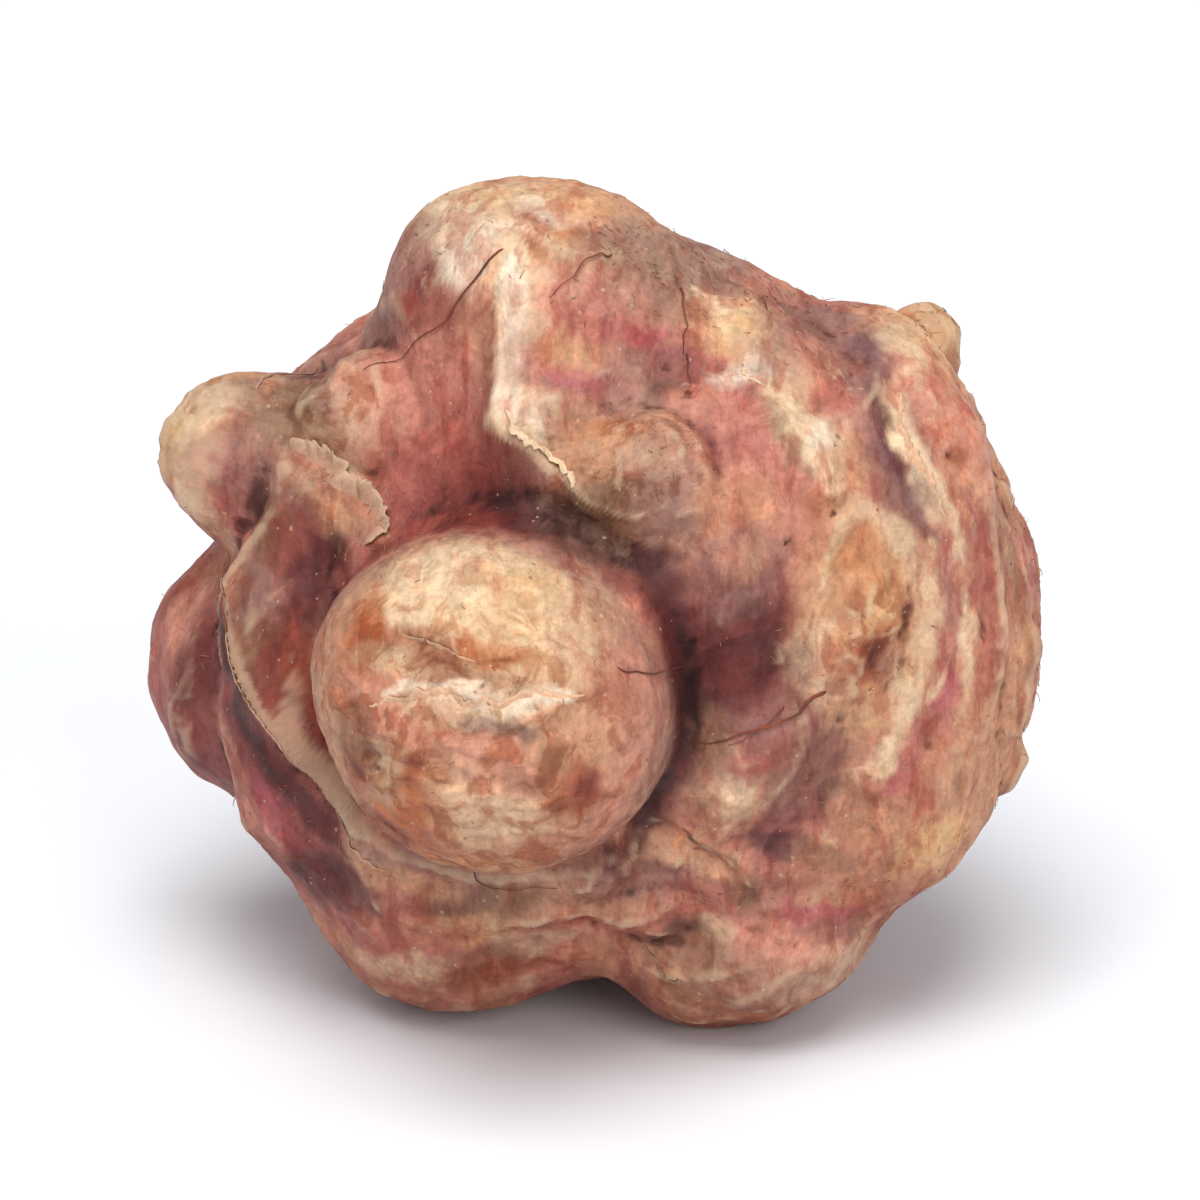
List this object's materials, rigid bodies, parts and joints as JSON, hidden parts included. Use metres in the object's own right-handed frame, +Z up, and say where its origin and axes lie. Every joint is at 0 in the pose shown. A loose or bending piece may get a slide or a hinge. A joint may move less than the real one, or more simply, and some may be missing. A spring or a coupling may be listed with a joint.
{
  "type": "jerusalem artichoke tuber",
  "caption": "Knobbly jerusalem artichoke tuber with a large egg-shaped side knob, scarred pink skin and small flat spots that it rests on.",
  "frame": {"origin": "middle of the tuber's box, on the surface that it lies on", "axes": "+Z up; -Y towards the side with the big egg-shaped knob; +X to the right, seen from there"},
  "size_m": [0.0744, 0.073, 0.0696],
  "materials": {
    "skin": "matt mauve-pink tuber skin, tan on the knobs and wine red in the creases"
  },
  "bodies": {
    "root": {"tuber": "skin"}
  },
  "joints": []
}
